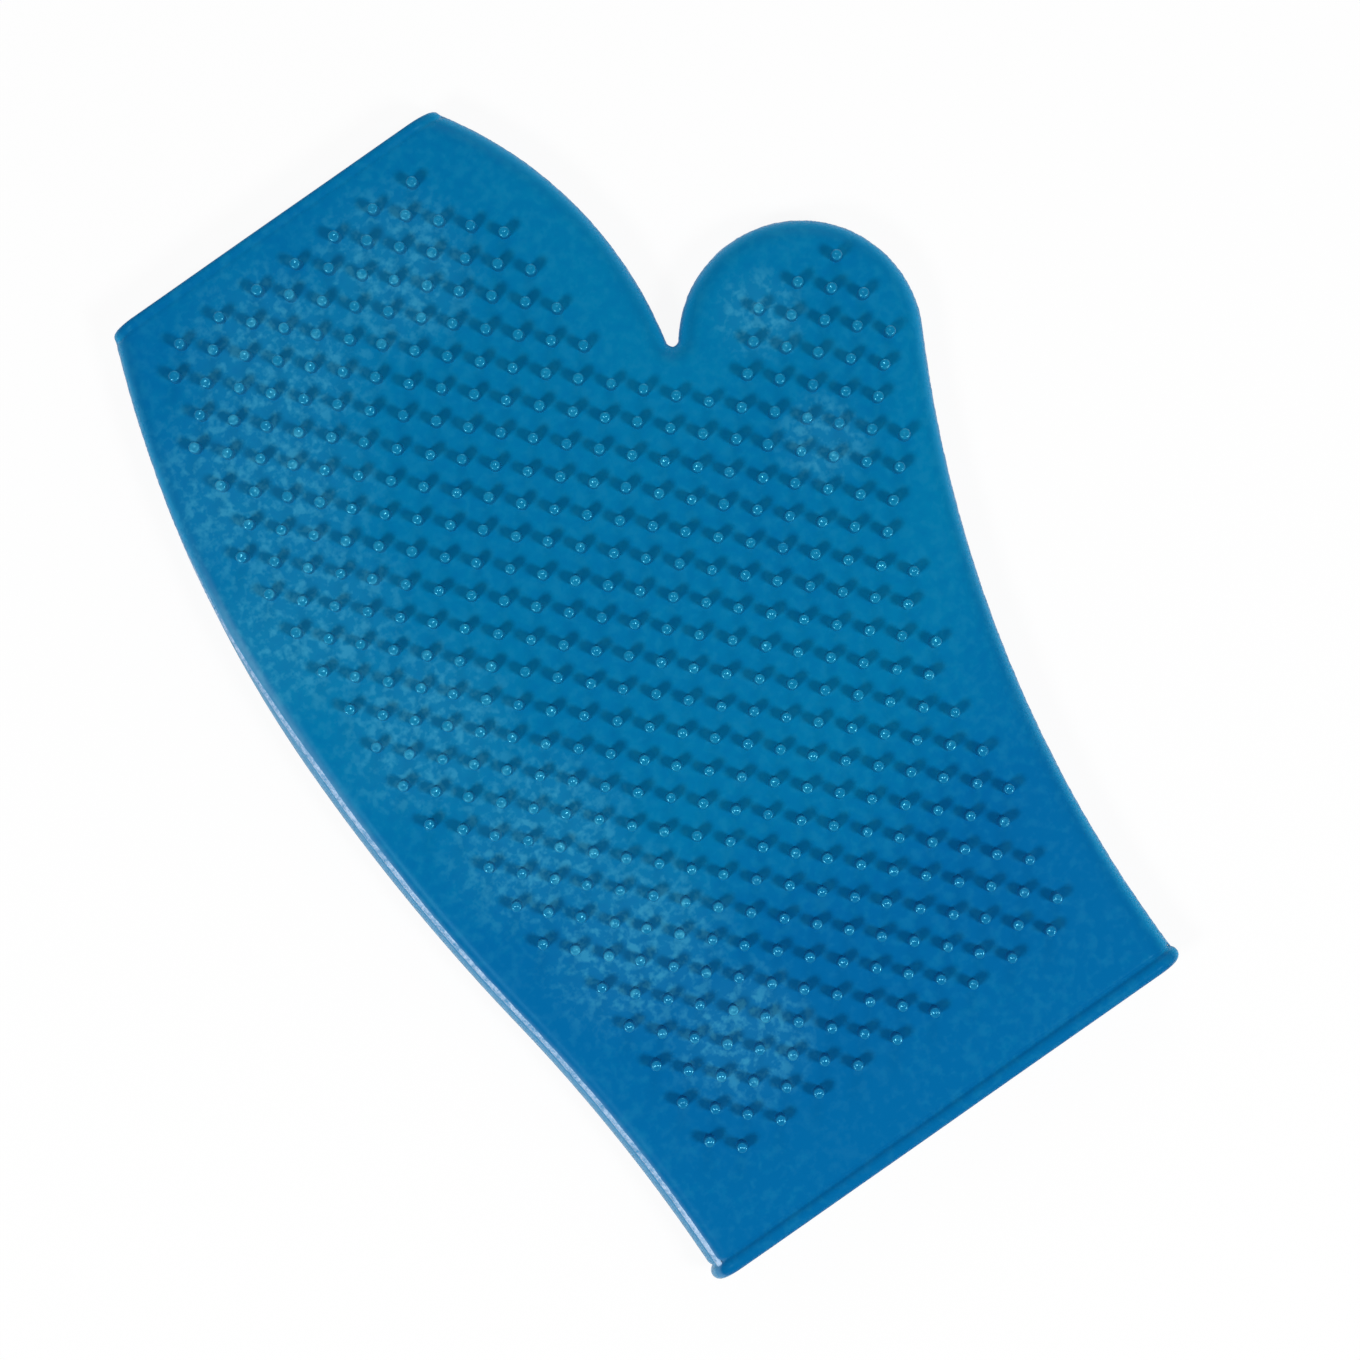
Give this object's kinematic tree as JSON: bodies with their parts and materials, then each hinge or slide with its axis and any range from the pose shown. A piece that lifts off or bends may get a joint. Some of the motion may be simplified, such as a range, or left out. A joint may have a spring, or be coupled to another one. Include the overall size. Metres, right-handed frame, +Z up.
{
  "type": "rubber grooming mitt",
  "caption": "Flat rubber grooming mitt with a thumb, open at cuff and finger end, rolled rims, long nubs on the palm and short pimples on the back.",
  "frame": {"origin": "middle of the mitt's bounding box, on the plane of the back pimples' tips", "axes": "+Z up through the palm side with its nubs, +Y from the cuff to the finger end, +X towards the thumb"},
  "size_m": [0.159, 0.23, 0.0164],
  "materials": {
    "mitt_rubber": "satin moulded blue rubber with pale bloom"
  },
  "bodies": {
    "hand": {"hand_back_pimples": "mitt_rubber", "hand_back_wall": "mitt_rubber", "hand_flash_line": "mitt_rubber", "hand_palm_nubs": "mitt_rubber", "hand_palm_wall": "mitt_rubber", "hand_rest_pimples": "mitt_rubber", "knuckle_band_back_pimples": "mitt_rubber", "knuckle_band_back_wall": "mitt_rubber", "knuckle_band_flash_line": "mitt_rubber", "knuckle_band_palm_nubs": "mitt_rubber", "knuckle_band_palm_wall": "mitt_rubber", "thumb_band_back_pimples": "mitt_rubber", "thumb_band_back_wall": "mitt_rubber", "thumb_band_flash_line": "mitt_rubber", "thumb_band_palm_nubs": "mitt_rubber", "thumb_band_palm_wall": "mitt_rubber", "wrist_band_back_pimples": "mitt_rubber", "wrist_band_back_wall": "mitt_rubber", "wrist_band_flash_line": "mitt_rubber", "wrist_band_palm_nubs": "mitt_rubber", "wrist_band_palm_wall": "mitt_rubber"},
    "cuff": {"cuff_back_pimples": "mitt_rubber", "cuff_back_wall": "mitt_rubber", "cuff_flash_line": "mitt_rubber", "cuff_palm_nubs": "mitt_rubber", "cuff_palm_wall": "mitt_rubber", "cuff_rest_pimples": "mitt_rubber", "cuff_rim": "mitt_rubber"},
    "fingers": {"finger_rim": "mitt_rubber", "fingers_back_pimples": "mitt_rubber", "fingers_back_wall": "mitt_rubber", "fingers_flash_line": "mitt_rubber", "fingers_palm_nubs": "mitt_rubber", "fingers_palm_wall": "mitt_rubber", "fingers_rest_pimples": "mitt_rubber"},
    "thumb": {"thumb_back_pimples": "mitt_rubber", "thumb_back_wall": "mitt_rubber", "thumb_flash_line": "mitt_rubber", "thumb_palm_nubs": "mitt_rubber", "thumb_palm_wall": "mitt_rubber", "thumb_rest_pimples": "mitt_rubber"}
  },
  "joints": [
    {"name": "wrist_flex", "type": "hinge", "parent": "hand", "child": "cuff", "pos_m": [0, -0.0187, 0.0068], "axis": [-1, 0, 0], "range_deg": [0, 45], "stiffness_Nm_per_rad": 0.08, "deforming": ["wrist_band_back_pimples", "wrist_band_back_wall", "wrist_band_flash_line", "wrist_band_palm_nubs", "wrist_band_palm_wall"]},
    {"name": "knuckle_flex", "type": "hinge", "parent": "hand", "child": "fingers", "pos_m": [0, 0.0641, 0.0068], "axis": [1, 0, 0], "range_deg": [0, 60], "stiffness_Nm_per_rad": 0.08, "deforming": ["knuckle_band_back_pimples", "knuckle_band_back_wall", "knuckle_band_flash_line", "knuckle_band_palm_nubs", "knuckle_band_palm_wall"]},
    {"name": "thumb_flex", "type": "hinge", "parent": "hand", "child": "thumb", "pos_m": [0.05435, 0.03495, 0.0068], "axis": [0.7071, -0.7071, 0], "range_deg": [0, 40], "stiffness_Nm_per_rad": 0.02, "deforming": ["thumb_band_back_pimples", "thumb_band_back_wall", "thumb_band_flash_line", "thumb_band_palm_nubs", "thumb_band_palm_wall"]}
  ]
}
